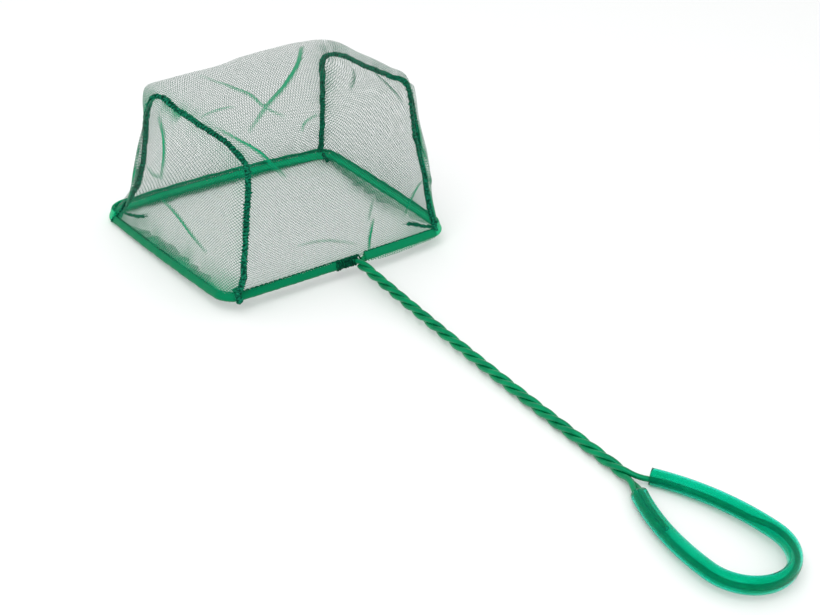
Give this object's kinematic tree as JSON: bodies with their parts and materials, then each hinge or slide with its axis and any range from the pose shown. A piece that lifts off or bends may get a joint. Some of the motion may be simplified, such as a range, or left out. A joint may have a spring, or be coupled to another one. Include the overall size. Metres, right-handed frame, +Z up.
{
  "type": "aquarium fish net",
  "caption": "Hand net for an aquarium: a soft sewn mesh bag on a rectangular coated-wire hoop, with a twisted wire handle that ends in a sleeved hanging loop.",
  "frame": {"origin": "middle of the net's footprint, on the floor that it lies on", "axes": "+Z up, +Y from the handle's loop towards the bag, +X to the right as seen from the loop"},
  "size_m": [0.1352, 0.369, 0.0875],
  "materials": {
    "green_vinyl": "smooth glossy vinyl coat",
    "steel_core": "drawn steel wire",
    "sleeve_vinyl": "soft translucent vinyl tube",
    "bag_mesh": "fine open nylon mesh",
    "hem_mesh": "rolled nylon mesh",
    "sewing_thread": "overlocked sewing thread"
  },
  "bodies": {
    "root": {"back_hem": "hem_mesh", "back_stitching": "sewing_thread", "centre_panel": "bag_mesh", "front_left_hem": "hem_mesh", "front_left_stitching": "sewing_thread", "front_right_hem": "hem_mesh", "front_right_stitching": "sewing_thread", "grip_sleeve": "sleeve_vinyl", "handle_tack": "sewing_thread", "hoop_core": "steel_core", "hoop_jacket": "green_vinyl", "left_back_tail": "sewing_thread", "left_front_tail": "sewing_thread", "left_hem": "hem_mesh", "left_panel": "bag_mesh", "left_seam": "sewing_thread", "left_stitching": "sewing_thread", "loop_core": "steel_core", "loop_jacket": "green_vinyl", "right_back_tail": "sewing_thread", "right_front_tail": "sewing_thread", "right_hem": "hem_mesh", "right_panel": "bag_mesh", "right_seam": "sewing_thread", "right_stitching": "sewing_thread", "strand_1_core": "steel_core", "strand_1_jacket": "green_vinyl", "strand_2_core": "steel_core", "strand_2_jacket": "green_vinyl", "strand_3_core": "steel_core", "strand_3_jacket": "green_vinyl"}
  },
  "joints": []
}
